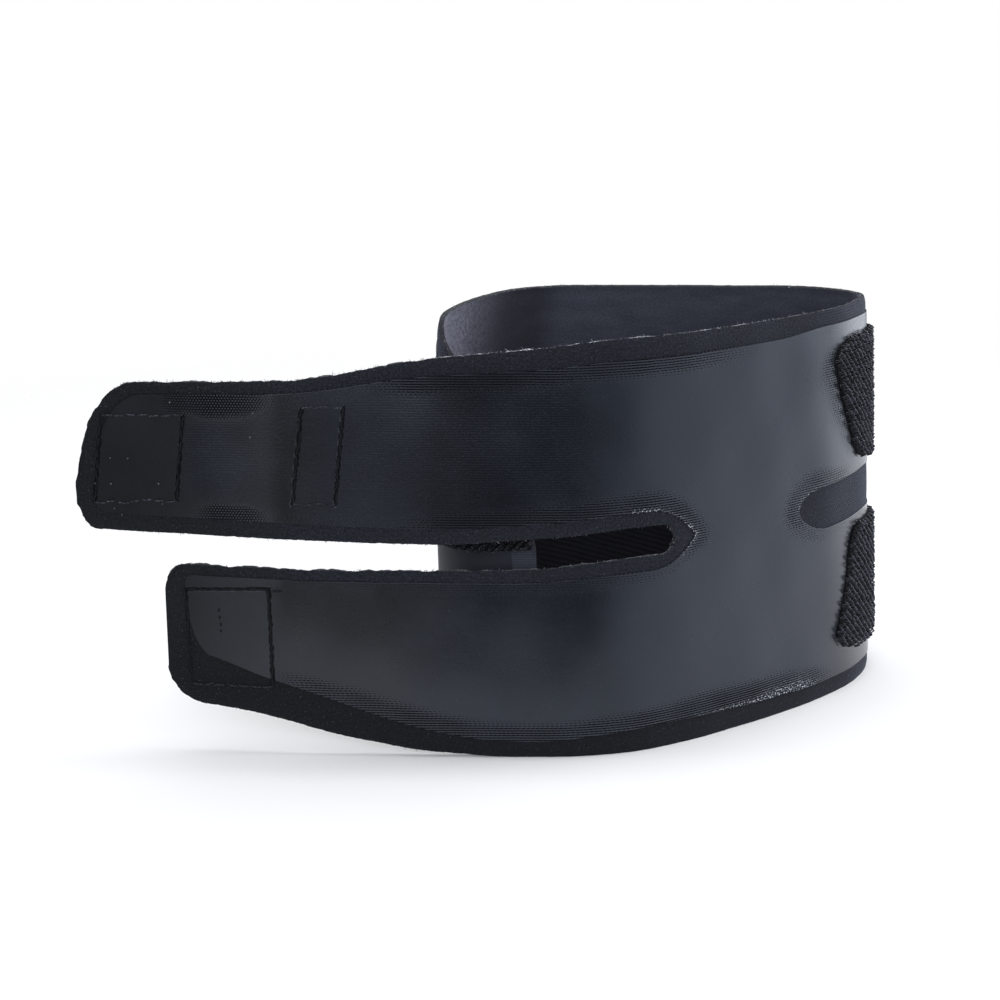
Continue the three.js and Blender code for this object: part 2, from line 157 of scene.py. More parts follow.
# The knit's mesh shows through the film beside its edges: where along the band, how strongly, how far in
MESH_BESIDE = {
    "top": (
        [3, 13, 17, 20.5, 23, 30, 36, 50, 58, 110, 122, 134, 160],
        [0.1, 0.15, 0.5, 0.6, 0.85, 0.85, 0.2, 0.3, 1.1, 1, 0.4, 0.15, 0.1],
        [2, 2.4, 4, 4, 4.6, 4.6, 2.8, 2.4, 3.4, 3.5, 2.8, 2.4, 2],
    ),
    "slit_above": (
        [3, 18, 24, 30, 35, 55, 64, 100, 110],
        [0.1, 0.15, 0.7, 0.7, 0.2, 0.3, 1.1, 1.1, 1],
        [2, 2.5, 3.2, 3.2, 2.5, 2.5, 3.2, 4, 3.4],
    ),
    "slit_below": (
        [18, 34, 60, 85, 100, 106, 110],
        [0.05, 0.35, 0.4, 0.6, 0.55, 0.5, 1],
        [1.5, 2, 2, 2.4, 2.6, 2.4, 3],
    ),
    "foot": (
        [18, 33, 38, 48, 60, 84, 104, 110, 128, 138, 146, 165],
        [0.1, 0.3, 0.75, 1, 1.1, 1, 1.1, 1.3, 1.3, 1, 0.15, 0.1],
        [2, 2.5, 3, 4, 4, 3.6, 3.8, 4.8, 5, 4.4, 2, 2],
    ),
    "window_above": ([134.8, 139, 146, 152, 160], [1, 1, 0.8, 0.2, 0.1], [4.6, 4.6, 3, 2, 2]),
    "window_below": ([134.8, 139, 146, 152, 160], [0.85, 0.6, 0.3, 0.1, 0.1], [4.2, 3.4, 2.4, 2, 2]),
    "pad": ([145, 148, 153, 160], [0.8, 0.65, 0.2, 0.05], [5, 4, 3, 2]),
}
# Beads of film along its edge, with painted near-white glints, by the slit's root, the window and the foot
BEADS_AND_GLINTS_BESIDE = {
    "slit_above": ([60, 96, 98, 102, 103.5, 106, 107, 110], [0.0, 0.1, 0.9, 0.9, 0.2, 0.3, 0.9, 1]),
    "slit_below": ([60, 105, 108, 110], [0.0, 0.0, 0.35, 0.9]),
    "foot": (
        [60, 108, 114, 121, 128, 136, 141],
        [0.0, 0.05, 0.6, 0.85, 0.95, 0.9, 0.0],
        [1, 1, 1, 1.5, 3, 3.6, 3],
    ),
    "window_above": ([134.8, 138, 142], [0.25, 0.35, 0.0]),
}
# Specks of lint on the upper strap, as distance along the band and height
LINT = [
    (6.2, 54.2), (9.3, 54.2), (6.1, 49.6), (14.5, 49.8), (5.4, 46.4), (7.5, 46.3), (15.1, 46.2),
    (6.5, 45.2), (7.8, 44.1), (3.3, 49.6), (17.1, 64.2), (31.4, 62.5), (30.8, 58.3),
]

# The paper floor's reach and level, in millimetres
FLOOR_FRONT = -150.0
FLOOR_BACK = 480.0
FLOOR_SIDE = 480.0
FLOOR_LEVEL = -0.02

# Camera at the photograph's angle, in the part's frame
CAMERA_FROM_FRONT = (-8.2, -296.45)
CAMERA_HEIGHT = 141.0
CAMERA_PITCH = 17.5
CAMERA_LENS = 64.8
FRONT_POINT = 82.0


def walk_the_way():
    """Plan points and headings at even steps: each stretch turns evenly, the turning is averaged over the
    bend ease to either side, and the headings are summed into points."""
    rate = np.concatenate([
        np.full(round(length / WAY_STEP), math.radians(turn) / length)
        for length, turn in zip(WAY["length"], WAY["turn"])])
    reach = round(BEND_EASE / WAY_STEP)
    padded = np.pad(np.append(rate, rate[-1]), reach, mode="edge")
    eased = np.convolve(padded, np.ones(2 * reach + 1) / (2 * reach + 1), "valid")
    heading = math.radians(FIRST_HEADING) + np.concatenate([[0], np.cumsum(eased[:-1]) * WAY_STEP])
    middle = heading[:-1] + eased[:-1] * WAY_STEP / 2
    x = np.concatenate([[0], np.cumsum(np.cos(middle)) * WAY_STEP])
    y = np.concatenate([[0], np.cumsum(np.sin(middle)) * WAY_STEP])
    return np.arange(len(heading)) * WAY_STEP, x, y, heading


WAY_AT, WAY_X, WAY_Y, WAY_HEADING = walk_the_way()


def bend_plain(s, z, out):
    """The point at distance s and height z of the flat cut: the way's point at s, moved outwards along its
    normal by out and by the flare, which grows from the upper edge to the lower one."""
    s, z, out = np.broadcast_arrays(np.asarray(s, float), np.asarray(z, float), np.asarray(out, float))
    heading = np.interp(s, WAY_AT, WAY_HEADING)
    outward = out + flare_at(s) * (0.5 - z / BAND_WIDTH)
    x = np.interp(s, WAY_AT, WAY_X) + np.sin(heading) * outward
    y = np.interp(s, WAY_AT, WAY_Y) - np.cos(heading) * outward
    return np.stack([x, y, z], axis=-1)


def corner_drop(distance, corner):
    """How far a rounded corner draws an edge in at a distance from the end: a quarter ellipse."""
    along, across = corner
    t = np.clip(1 - np.maximum(distance, 0) / along, 0, 1)
    return across * (1 - np.sqrt(1 - t * t))


def slit_gap(s):
    """Half the slit's height: it ends in a half circle at its root."""
    radius = float(slit_half(SLIT_ROOT))
    past = np.clip((s - (SLIT_ROOT - radius)) / radius, 0, 1)
    return np.where(past > 0, radius * np.sqrt(1 - past * past), slit_half(s))


FILM_GAP_END = SLIT_ROOT + FILM_SLIT_END["reach"]


def film_gap(s, margin):
    """How far the gap in the film reaches from the slit's middle: the slit and its margin, closing in a
    soft point, then the round-ended window."""
    t = np.clip(1 - (FILM_GAP_END - s) / FILM_SLIT_END["along"], 0, 1)
    round_slit = (slit_half(s) + margin(s)) * (1 - t * t) ** FILM_SLIT_END["sharpness"]
    start, end, half = FILM_WINDOW["from"], FILM_WINDOW["to"], FILM_WINDOW["half"]
    window = half - corner_drop(np.minimum(s - start, end - s), (FILM_WINDOW["rounding"], half))
    window = np.where((s > start) & (s < end), window, 0)
    return np.where(s < FILM_GAP_END, round_slit, window)


def rounded(edge, way, *corners):
    """An edge whose rounded corners draw it up or down, by the sign of way. A corner is an end of the cut,
    the sign of the way in from there, and its reach along the band and across."""
    def height(s):
        level = edge(s)
        for end, inward, corner in corners:
            level = level + way * corner_drop((s - end) * inward, corner)
        return level

    return height


def cut_edges(top, foot, above, below, corner, upper_tip, lower_tip, far_end):
    """A cut's edges with their rounded corners: top, foot, and above and below the slit."""
    return (
        rounded(top, -1, (upper_tip, 1, corner["upper_tip_top"]), (far_end, -1, corner["far_top"])),
        rounded(foot, 1, (lower_tip, 1, corner["lower_tip_foot"]), (far_end, -1, corner["far_foot"])),
        rounded(above, 1, (upper_tip, 1, corner["upper_tip_foot"])),
        rounded(below, -1, (lower_tip, 1, corner["lower_tip_top"])),
    )


# Beyond the slit and the window, the edges above and below them are one line, where the halves meet
knit_top, knit_foot, knit_slit_above, knit_slit_below = cut_edges(
    upper_edge, lower_edge, lambda s: slit_middle(s) + slit_gap(s), lambda s: slit_middle(s) - slit_gap(s),
    KNIT_CORNER, 0, LOWER_STRAP_TIP, FAR_END)
film_top, film_foot, film_slit_above, film_slit_below = cut_edges(
    lambda s: upper_edge(s) - film_top_margin(s), film_foot_edge,
    lambda s: slit_middle(s) + film_gap(s, film_margin_above),
    lambda s: slit_middle(s) - film_gap(s, film_margin_below),
    FILM_CORNER, FILM_UPPER_TIP, FILM_LOWER_TIP, FILM_FAR_END)


def marks(start, end, step, rounds=()):
    """Rising distances from start to end, even apart from each round (place, reach), where they crowd
    towards the place as the sine of an even angle does."""
    even = np.linspace(start, end, max(2, math.ceil((end - start) / step) + 1))
    angle = np.linspace(0, math.pi / 2, 15)
    crowded = [place + reach * (1 - np.cos(angle)) for place, reach in rounds]
    every = np.sort(np.concatenate([even, *crowded]))
    every = every[(every >= start) & (every <= end)]
    kept = every[np.concatenate([[True], np.diff(every) > 0.03])]
    kept[-1] = end
    return kept


def knit_corner():
    """The lowest x and y that the knit's two faces reach along its edges."""
    s = marks(0, FAR_END, WAY_STEP, [(0, 4)])
    lower = s[s > LOWER_STRAP_TIP]
    rims = [bend_plain(at, edge(at), face) for at, edge in ((s, knit_top), (lower, knit_foot))
            for face in (-KNIT_HALF, KNIT_HALF)]
    return np.concatenate(rims)[:, :2].min(axis=0)


# From the flat cut's own start to where the frame's knit solid stands
PLACE = np.append(np.asarray(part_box("fabric_wrap")[0])[:2] / MM - knit_corner(), 0)


def bend(s, z, out):
    """The bent band's point in metres, where the frame stands."""
    return (bend_plain(s, z, out) + PLACE) * MM


def along_way(s):
    """The way's direction at distance s."""
    heading = np.interp(s, WAY_AT, WAY_HEADING)
    return np.stack([np.cos(heading), np.sin(heading), np.zeros_like(heading)], axis=-1)


def outward_normal(s):
    """The way's outward normal at distance s."""
    return np.cross(along_way(s), (0, 0, 1))


def add_object(name, data):
    """A new object in the scene."""
    made = bpy.data.objects.new(name, data)
    bpy.context.scene.collection.objects.link(made)
    return made


# Meshes from arrays
FLAT_UNIT = 300.0


def mesh_piece(name, points, faces, finishes, flat=None, values=None):
    """A mesh object from points, face arrays and finishes. flat gives each point's place in the cut, kept
    as a UV map, and values are further point attributes."""
    mesh = bpy.data.meshes.new(name)
    faces = [np.asarray(f) for f in faces if len(f)]
    sizes = np.concatenate([np.full(len(f), f.shape[1]) for f in faces])
    corners = np.concatenate([f.ravel() for f in faces]).astype(np.int32)
    mesh.vertices.add(len(points))
    mesh.vertices.foreach_set("co", np.asarray(points, np.float32).ravel())
    mesh.loops.add(len(corners))
    mesh.loops.foreach_set("vertex_index", corners)
    mesh.polygons.add(len(sizes))
    starts = np.concatenate([[0], np.cumsum(sizes)[:-1]]).astype(np.int32)
    mesh.polygons.foreach_set("loop_start", starts)
    mesh.polygons.foreach_set("use_smooth", np.full(len(sizes), True))
    if flat is not None:
        uv = mesh.uv_layers.new(name="flat")
        uv.data.foreach_set("uv", (np.asarray(flat, np.float32)[corners] / FLAT_UNIT).ravel())
    for key, value in (values or {}).items():
        attribute = mesh.attributes.new(key, "FLOAT", "POINT")
        attribute.data.foreach_set("value", np.asarray(value, np.float32))
    mesh.update()
    mesh.validate()
    for finish in finishes:
        mesh.materials.append(finish)
    return add_object(name, mesh)


def grid_faces(rows, columns, first=0):
    """Quads of a grid of points stored row after row."""
    corner = first + np.arange(rows - 1)[:, None] * columns + np.arange(columns - 1)
    return np.stack([corner, corner + columns, corner + columns + 1, corner + 1], axis=-1).reshape(-1, 4)


def weld(points, faces, tolerance):
    """Joins points within the tolerance: the kept points' numbers and the renumbered faces."""
    key = np.round(points / tolerance).astype(np.int64)
    _, kept, number = np.unique(key, axis=0, return_index=True, return_inverse=True)
    faces = number.ravel()[faces]
    spread = np.sort(faces, axis=1)
    whole = (np.diff(spread, axis=1) > 0).all(axis=1)
    quads, rest = faces[whole], faces[~whole]
    after = np.roll(rest, -1, axis=1)
    single = (rest != after).sum(axis=1) == 3
    triangles = rest[single][rest[single] != after[single]].reshape(-1, 3)
    return kept, [quads, triangles]


def band_cut(strips, rows):
    """Flat grid points and quads of strips between their low and high edges, crowded towards both."""
    share = (1 - np.cos(np.linspace(0, math.pi, rows + 1))) / 2
    flat, faces, first = [], [], 0
    for stations, low, high in strips:
        foot, top = low(stations)[:, None], high(stations)[:, None]
        z = foot + (top - foot) * share
        flat.append(np.stack([np.broadcast_to(stations[:, None], z.shape), z], axis=-1).reshape(-1, 2))
        faces.append(grid_faces(len(stations), rows + 1, first))
        first += z.size
    return np.concatenate(flat), np.concatenate(faces)


def tubes(paths, radius, side_of, sides):
    """Tubes of a few sides round many paths of equal point count: at each point a ring lies across the
    path's direction, turned from side_of, and the ends are closed with one face."""
    count, steps, _ = paths.shape
    ahead = np.gradient(paths, axis=1)
    ahead /= np.linalg.norm(ahead, axis=-1, keepdims=True) + 1e-12
    across = np.cross(ahead, side_of)
    across /= np.linalg.norm(across, axis=-1, keepdims=True) + 1e-12
    up = np.cross(across, ahead)
    angle = np.arange(sides) * 2 * math.pi / sides
    ring = across[:, :, None] * np.cos(angle)[:, None] + up[:, :, None] * np.sin(angle)[:, None]
    points = paths[:, :, None] + ring * np.broadcast_to(radius, (count, steps))[:, :, None, None]
    tube = np.arange(count)[:, None, None] * steps * sides
    step = np.arange(steps - 1)[None, :, None] * sides
    here = np.arange(sides)
    after = (here + 1) % sides
    a, b = tube + step + here, tube + step + after
    walls = np.stack([a, a + sides, b + sides, b], axis=-1).reshape(-1, 4)
    start = np.arange(count)[:, None] * steps * sides + np.arange(sides)
    caps = np.concatenate([start, start[:, ::-1] + (steps - 1) * sides])
    return points.reshape(-1, 3), [walls, caps]


def fibres(name, paths, radius, side_of, sides, finish, shade=()):
    """A piece of many tubes, which may each have a shade of their own."""
    points, faces = tubes(paths, radius, side_of, sides)
    values = {"shade": np.repeat(shade, paths.shape[1] * sides)} if len(shade) else {}
    return mesh_piece(name, points, faces, [finish], values=values)


def add_wall(piece, thickness, offset, rim_round=0.0):
    """Gives a sheet its thickness, and rounds its cut edge."""
    solid = piece.modifiers.new("wall", "SOLIDIFY")
    solid.thickness = thickness * MM
    solid.offset = offset
    solid.use_even_offset = True
    solid.use_quality_normals = True
    if rim_round:
        bevel = piece.modifiers.new("cut_edge", "BEVEL")
        bevel.width = rim_round * MM
        bevel.segments = 2
        bevel.limit_method = "ANGLE"
        bevel.angle_limit = math.radians(50)
    return solid


# Pitches of the knit's rows and courses, of the mesh along and across the band, and of the strap's dots
ROW_PITCH = 0.48
COURSE_PITCH = 0.62
MESH_PITCH = (0.8, 0.45)
DOT_PITCH = 0.52


# Shader maths
def operator(operation, reflected=False):
    """A method that adds a Math node for an operator."""
    def method(self, other):
        values = (other, self) if reflected else (self, other)
        return self.node("Math", dict(enumerate(values)), {"operation": operation})

    return method


class Value:
    """A socket in a node tree. Arithmetic on values adds Math nodes."""
    __add__ = __radd__ = operator("ADD")
    __mul__ = __rmul__ = operator("MULTIPLY")
    __sub__ = operator("SUBTRACT")
    __rsub__ = operator("SUBTRACT", reflected=True)
    __truediv__ = operator("DIVIDE")

    def __init__(self, tree, socket=None):
        self.tree = tree
        self.socket = socket

    def node(self, kind, sockets=None, settings=None, out=0):
        """Adds a node: its settings are set first, then its sockets get values or links."""
        made = self.tree.nodes.new("ShaderNode" + kind)
        for key, value in (settings or {}).items():
            setattr(made, key, value)
        for key, value in (sockets or {}).items():
            if isinstance(value, Value):
                self.tree.links.new(value.socket, made.inputs[key])
            else:
                made.inputs[key].default_value = value
        return Value(self.tree, made.outputs[out] if len(made.outputs) else None)

    def math(self, operation, *others):
        return self.node("Math", dict(enumerate((self, *others))), {"operation": operation})

    def wave(self, length):
        """A sine of the given wave length, from 0 to 1."""
        return (self * (2 * math.pi / length)).math("SINE") * 0.5 + 0.5

    def rise(self, low, high):
        """0 below low, 1 above high, and smooth between."""
        sockets = {0: self, 1: low, 2: high}
        return self.node("MapRange", sockets, {"interpolation_type": "SMOOTHSTEP"})

    def band(self, low, full, last, high):
        """0 outside low and high, 1 from full to last, and smooth between."""
        return self.rise(low, full) * (1 - self.rise(last, high))

    def tint(self, low, high):
        """A colour between two, by this value."""
        return self.node("Mix", {0: self, 6: colour(low), 7: colour(high)}, {"data_type": "RGBA"}, out=2)

    def coated(self, *coats):
        """This colour with others laid over it in turn, each by its own amount."""
        shade = self
        for amount, tone in coats:
            shade = amount.tint(shade, tone)
        return shade

    def parts(self):
        """The three numbers of this vector."""
        split = self.node("SeparateXYZ", {0: self})
        return [Value(self.tree, socket) for socket in split.socket.node.outputs]


def colour(tone):
    """A linear colour from an eight-bit one. A value, or a linear colour of four numbers, stays."""
    if isinstance(tone, Value) or len(tone) == 4:
        return tone
    share = np.array(tone) / 255
    linear = np.where(share <= 0.04045, share / 12.92, ((share + 0.055) / 1.055) ** 2.4)
    return (*linear.tolist(), 1.0)


class Finish:
    """A material and its node tree."""

    def __init__(self, name):
        self.material = bpy.data.materials.new(name)
        self.material.use_nodes = True
        tree = self.material.node_tree
        tree.nodes.clear()
        self.node = Value(tree).node

    def flat(self):
        """Distance along the band and height, in millimetres, from the piece's own flat map."""
        along, up, _ = self.node("UVMap", settings={"uv_map": "flat"}).parts()
        return along * FLAT_UNIT, up * FLAT_UNIT

    def attribute(self, name):
        return self.node("Attribute", settings={"attribute_name": name}, out=2)

    def vector(self, x, y, z=0.0):
        return self.node("CombineXYZ", {0: x, 1: y, 2: z})

    def place(self):
        """Object coordinates in millimetres."""
        spot = self.node("TexCoord", out=3)
        return self.node("VectorMath", {0: spot, "Scale": 1 / MM}, {"operation": "SCALE"})

    def noise(self, spot, size, detail=2.0, rough=0.5):
        sockets = {"Vector": spot, "Scale": 1 / size, "Detail": detail, "Roughness": rough}
        return self.node("TexNoise", sockets)

    def seam(self, s, z):
        """How dark the sewn boxes make a spot, partly the stitch groove's own dark and partly painted shade
        in it: a box's sides are where the largest of its four signed distances is nought, and each side has
        its own darkness."""
        total = 0
        for box, darkness in zip(np.array(SEWN_BOXES), SEWN_SHADE_AND_HIGHLIGHT):
            sides = []
            for a, b in zip(box, np.roll(box, -1, axis=0)):
                normal = np.array([b[1] - a[1], a[0] - b[0]]) / np.linalg.norm(b - a)
                normal = normal * np.sign(normal @ (a - box.mean(axis=0)))
                sides.append(s * float(normal[0]) + z * float(normal[1]) - float(normal @ a))
            far = sides[0]
            for side in sides[1:]:
                far = far.math("MAXIMUM", side)
            dark = sum((side - far).rise(-0.3, 0.0) * max(0.0, 2 * share - 1)
                       for side, share in zip(sides, darkness))
            total = dark * (1 - far.math("ABSOLUTE").rise(0.1, 0.46)) + total
        return total.math("MINIMUM", 1.0)

    def bump(self, height, depth, strength=1.0):
        """A normal from a height from 0 to 1, whose full depth is in millimetres."""
        return self.node("Bump", {"Height": height, "Distance": depth * MM, "Strength": strength})

    def shader(self, tone, rough, specular, **more):
        """A principled shader."""
        sockets = {"Base Color": tone, "Roughness": rough, "Specular IOR Level": specular}
        sockets.update({key.replace("_", " ").title(): value for key, value in more.items()})
        return self.node("BsdfPrincipled", sockets)

    def close(self, shader):
        """Ends the tree with a shader."""
        self.node("OutputMaterial", {"Surface": shader})
        return self.material

    def end(self, *main, **more):
        """Ends the tree with a principled shader."""
        return self.close(self.shader(*main, **more))


def film_finish():
    """Satin film: slate black, with the knit below showing as dark dashes beside the edges, pale dots on
    the strap's end and faint ribs, and beads where the film was pressed out. Painted light: near-white
    glints on the beads, highlights on a bulge, on the flattened patch between the first two sewn boxes and
    along the mesh's rows, a painted reflection over the right of the loop and paler film at the far end;
    and painted shade that dulls two patches."""
    make = Finish("satin_film")
    s, z = make.flat()
    mesh, beads_and_glints, ribs, pressed_and_sheen = (make.attribute(name) for name in ("mesh", "beads_and_glints", "ribs", "pressed_and_sheen"))
    spot = make.vector(s, z)
    wander = make.noise(spot, 1.1) - 0.5
    # Dark stitch lines: partly painted shade in their grooves.
    seam = make.seam(s + wander * 0.9, z + wander * 0.5)
    mottle = make.noise(spot, 7.0, 3.0)
    grain = make.noise(spot, 0.45, 1.0, 0.6)
    warp = (make.noise(spot, 1.6) - 0.5) * 0.4
    level = (z + warp * 0.25) / MESH_PITCH[1]
    row = level.math("FLOOR")
    lines = (level - 0.25).wave(1.0)
    shift = row * 0.5 + row * row * 0.13
    dashes = lines * (0.58 + ((s + warp) / MESH_PITCH[0] + shift).wave(1.0) * 0.42)
    dots = lines * ((s + warp * 0.5) / DOT_PITCH + row * 0.5).wave(1.0)
    end = 1 - s.rise(32, 37)
    far = s.rise(226, 250)
    ground = 1.02 - mesh * (0.53 + grain * 0.38)
    hollow = dashes.rise(ground, ground + 0.2) * (1 - end)
    hollow = hollow + (1 - dots).rise(ground + 0.1, ground + 0.4) * end
    drop = (beads_and_glints * make.noise(spot, 0.32, 0.0).rise(0.55, 0.66)).math("MINIMUM", 1.0)
    speck = make.noise(spot, 0.42, 0.0).rise(0.74, 0.84)
    # Painted highlight: lighter film on the upper strap by the hook tab's end, where it bulges and would
    # catch the light.
    bulge_highlight = s.band(34, 46, 58, 70) * z.rise(40, 43)
    # Painted highlight: pale lines where the film drapes over the knit's rows.
    ridge_highlight = mesh * (1 - lines).rise(0.5, 0.95) * (1 - end)
    relief = ribs * lines * 0.05 + grain * 0.14 + mottle * 0.3 + drop - hollow * 0.6 - seam * 2
    shade = s.rise(13, 24).tint((15, 13, 13), (21, 20, 20)).coated(
        (s.rise(48, 74), (14, 17, 23)),
        # Painted reflection: lighter film over the right of the loop, where it reflects the bright side.
        (s.band(92, 126, 138, 148) * 0.65, (36, 39, 47)),
        (bulge_highlight * 0.8, (31, 33, 38)),
        # Painted sheen: the flattened patch between the first two sewn boxes is lighter; the mottle is the
        # film's own tone.
        (mottle.rise(0.35, 0.75) * 0.22 + pressed_and_sheen * 0.7, (28, 31, 38)),
        # Painted light: paler film round the far end, where light reaches it behind the straps.
        (far * 0.85, (31, 33, 38)),
        (mesh * dots.rise(0.3, 0.7) * end * 0.4, (74, 82, 95)),
        (ridge_highlight * 0.16, (84, 92, 106)),
        (speck * 0.1, (96, 102, 114)),
        # Painted glints: the beads turned near white.
        (drop * 0.9, (205, 208, 215)),
    )
    rough = 0.3 + (mottle - 0.5) * 0.08 + (grain - 0.5) * 0.1 + drop * 0.1
    rough = rough + end * 0.14 - pressed_and_sheen * 0.1 + far * 0.32
    satin = make.shader(
        shade, rough, 0.57, specular_tint=(0.8, 0.87, 1.0, 1.0),
        coat_weight=s.band(136, 152, 170, 205) * (0.5 - z.rise(58, 69) * 0.45), coat_roughness=0.25,
        normal=make.bump(relief, 0.11, 0.9),
    )
    knit = grain.tint((4, 4, 6), (13, 14, 18))
    below = make.shader(knit, 0.9, 0.12)
    # Mixes the film to dull dark knit: its own dullness at the strap's tip and on the mesh, and in the last
    # two terms painted shade where its reflection should be dimmer, on the upper middle and beside the
    # upper pad's top.
    dull_and_painted_shade = (1 - s.rise(14, 34)) * 0.46 + mesh * (1 - end) * 0.18
    dull_and_painted_shade = dull_and_painted_shade + s.band(57, 64, 72, 86) * z.rise(37, 44) * 0.3
    dull_and_painted_shade = dull_and_painted_shade + s.band(138, 147, 170, 190) * z.rise(60, 68) * 0.3
    gone = ((hollow * 0.9 + dull_and_painted_shade) * (1 - drop) + seam * 0.9).math("MINIMUM", 1.0)
    return make.close(make.node("MixShader", {0: gone, 1: satin, 2: below}))


def knit_finish():
    """Bare knit on the outside: blue-black and felted, with fine ribs where the band turns away. Painted
    light makes it paler at the far end; painted shade makes it darker from the window round the back and
    towards the lower edge.
    """
    make = Finish("bare_knit")
    s, z = make.flat()
    spot = make.vector(s, z)
    wander = make.noise(spot, 1.4, 1.0) - 0.5
    seam = make.seam(s + wander * 0.5, z + wander * 0.4)
    grain = make.noise(spot, 0.42, 3.0, 0.8)
    broad = make.noise(spot, 3.0, 4.0, 0.6)
    warp = (make.noise(spot, 1.5) - 0.5) * 0.5
    row = ((z + warp * 0.3) / ROW_PITCH).math("FLOOR")
    wales = (z + warp * 0.3 - ROW_PITCH / 4).wave(ROW_PITCH)
    courses = ((s + warp) / COURSE_PITCH + row * 0.5).wave(1.0)
    clear = (s.rise(136, 150) * 0.8 + 0.08) * (0.2 + z.rise(14, 26) * 0.8)
    stitch = wales * (0.55 + courses * 0.45) * clear
    dark = grain.rise(0.36, 0.66)
    fleck = make.noise(spot, 0.3, 0.0).rise(0.74, 0.84)
    relief = stitch * 0.8 + grain * 1.2 - seam * 1.5
    shade = (stitch * 0.5 + grain * 0.9).rise(0.26, 0.82).tint((8, 9, 12), (50, 53, 64)).coated(
        (broad.rise(0.4, 0.75) * 0.35, (21, 22, 27)),
        # Painted light: a paler strip at the far end, where light reaches it between the straps and the
        # loop.
        (s.rise(284, 289) * 0.85, (72, 74, 83)),
        # Painted shade: darker from the window round to the back.
        (s.band(126, 136, 200, 240) * 0.35, (6, 7, 9)),
        # Painted shade: darker towards the lower edge.
        ((1 - z.rise(14, 30)) * 0.75, dark.tint((2, 3, 6), (13, 14, 19))),
        ((1 - s.rise(14, 46)) * 0.6, dark.tint((5, 5, 5), (21, 20, 20))),
        (fleck * 0.4, (96, 99, 109)),
        # Partly painted shade: the stitch grooves darkened.
        (seam * 0.8, (4, 4, 5)),
    )
    return make.end(
        shade, 0.92, 0.25, sheen_weight=0.14, sheen_roughness=0.4,
        sheen_tint=colour((180, 192, 220)), normal=make.bump(relief, 0.15, 0.9),
    )


def cut_edge_finish():
    """The knit's cut edge: the same yarn, open and paler, with painted near-white glints on the fibre ends
    in some stretches.
    """
    make = Finish("cut_edge")
    s, z = make.flat()
    spot = make.place()
    grain = make.noise(spot, 0.4, 3.0, 0.75)
    clump = make.noise(spot, 0.34, 1.0)
    patch = make.noise(spot, 9.0, 1.0).rise(0.44, 0.6)
    open_top = (s.band(56, 72, 94, 106) + s.band(108, 114, 119, 126)) * z.rise(66, 69)
    strap = (0.3 + s.rise(60, 80) * 0.7) * (1 - s.rise(130, 150))
    by_root = s.rise(80, 96) * z.band(30, 34, 44, 48)
    scattered = clump.rise(0.6, 0.7) * (0.2 + patch * 0.4) * strap * (1 + by_root * 0.8)
    # Painted glints: near white all along the open front's top, scattered elsewhere.
    end_glints = open_top * clump.rise(0.46, 0.62) + (1 - open_top) * scattered
    shade = grain.rise(0.3, 0.75).tint((12, 13, 15), (42, 44, 51))
    shade = (end_glints * 0.95).tint(shade, (186, 188, 194))
    return make.end(
        shade, 0.95, 0.2, sheen_weight=0.1, sheen_roughness=0.4,
        normal=make.bump(grain, 0.12, 0.9),
    )


def lining_finish():
    """Brushed inside: lavender grey with slanting ribs low down, and painted light and shade by place:
    paler along most of the band, a painted shadow before the far curl, a painted lit patch on the curl,
    painted shade low down.
    """
    make = Finish("brushed_lining")
    s, z = make.flat()
    spot = make.vector(s, z)
    grain = make.noise(spot, 0.4, 3.0, 0.75)
    nap = make.noise(make.vector(s * 0.35, z), 2.4, 3.0)
    slant = (z - s * 0.3 + (make.noise(spot, 2.5) - 0.5) * 0.4).wave(1.1)
    low = 1 - z.rise(44, 58)
    around = 1 - s.rise(222, 246)
    relief = slant * low * 0.4 + grain * 0.8 + nap * 0.3
    thick = (slant * low * 0.3 + grain * 0.6 + nap * 0.3).rise(0.2, 1.0)
    fleck = (make.noise(spot, 0.9, 3.0, 0.7) * 0.7 + grain * 0.3).rise(0.36, 0.66)
    shade = thick.tint((32, 33, 39), (76, 78, 90)).coated(
        # Painted light: paler lining along most of the band, before the far end.
        (around * 0.5, thick.tint((62, 64, 74), (104, 107, 121))),
        # Painted shadow: a darker band just before the far curl.
        (s.band(226, 234, 240, 250) * 0.55, (24, 24, 28)),
        # Painted light: a lit, flecked patch on the far curl.
        (s.rise(242, 259) * 0.6, fleck.tint((34, 35, 42), (116, 118, 133))),
        # Painted shade: darker low down inside the loop.
        (low * 0.85, thick.tint((10, 10, 12), (32, 32, 38))),
    )
    return make.end(
        shade, 0.95, 0.2, sheen_weight=0.45, sheen_roughness=0.4,
        sheen_tint=colour((205, 203, 220)), normal=make.bump(relief, 0.14, 0.8),
    )


def pile_finish():
    """Loop pile: charcoal yarn whose loops differ a little in shade."""
    make = Finish("loop_pile")
    grain = make.noise(make.place(), 0.12)
    tone = (make.attribute("shade") * 0.75 + grain * 0.25).tint((13, 13, 18), (54, 54, 67))
    return make.end(
        tone, 0.72, 0.35, sheen_weight=0.2, sheen_roughness=0.4,
        normal=make.bump(grain, 0.03, 0.6),
    )


def pile_tape_finish():
    """Woven tape under the loops: near black, ribbed along the band."""
    make = Finish("pile_tape")
    s, z = make.flat()
    grain = make.noise(make.vector(s, z), 0.25)
    weave = (z + s * 0.6).wave(0.85) * 0.7 + s.wave(0.5) * 0.3
    tone = (weave * 0.6 + grain * 0.4).tint((10, 10, 12), (32, 31, 34))
    return make.end(tone, 0.9, 0.2, normal=make.bump(weave + grain, 0.15, 0.9))


